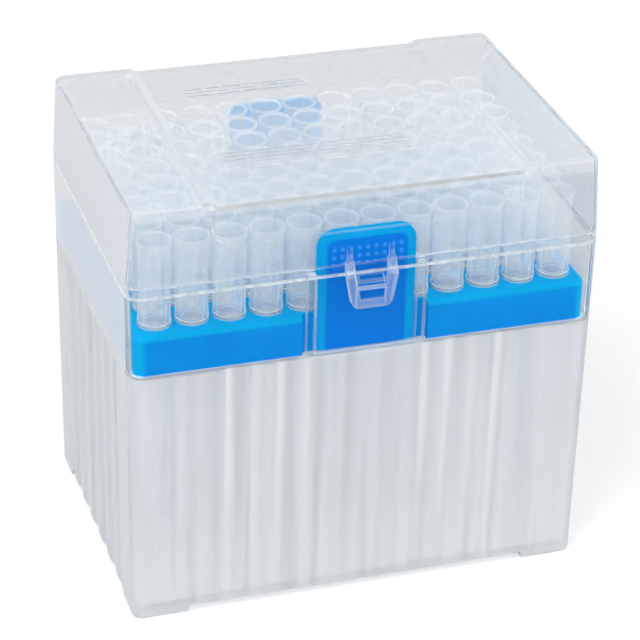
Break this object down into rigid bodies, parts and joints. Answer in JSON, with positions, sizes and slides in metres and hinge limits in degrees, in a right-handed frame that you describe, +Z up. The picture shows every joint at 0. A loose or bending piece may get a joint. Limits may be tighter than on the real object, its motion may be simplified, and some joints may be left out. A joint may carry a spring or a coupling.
{
  "type": "box of pipette tips",
  "caption": "Clear lidded box holding a full grid of long pipette tips in a blue rack tray, with a rear hinge and a front snap latch.",
  "frame": {"origin": "middle of the closed box's outline, on the surface that it stands on", "axes": "+X to the right along the front, seen from the front, +Y from the latch at the front to the hinge at the back, +Z up"},
  "size_m": [0.1156, 0.0868, 0.1103],
  "materials": {
    "clear_base": "translucent natural polypropylene, softly polished",
    "clear_lid": "translucent natural polypropylene, softly polished, with a plain ridged top",
    "blue_tray": "moulded blue polypropylene, satin",
    "clear_tip": "natural translucent polypropylene"
  },
  "bodies": {
    "base": {"base_box": "clear_base", "rack_tray": "blue_tray", "tips_column_01": "clear_tip", "tips_column_02": "clear_tip", "tips_column_03": "clear_tip", "tips_column_04": "clear_tip", "tips_column_05": "clear_tip", "tips_column_06": "clear_tip", "tips_column_07": "clear_tip", "tips_column_08": "clear_tip", "tips_column_09": "clear_tip", "tips_column_10": "clear_tip", "tips_column_11": "clear_tip", "tips_column_12": "clear_tip"},
    "lid": {"lid": "clear_lid"}
  },
  "joints": [
    {"name": "lid_hinge", "type": "hinge", "parent": "base", "child": "lid", "pos_m": [0, 0.04228, 0.0862], "axis": [-1, 0, 0], "range_deg": [0, 180]}
  ]
}
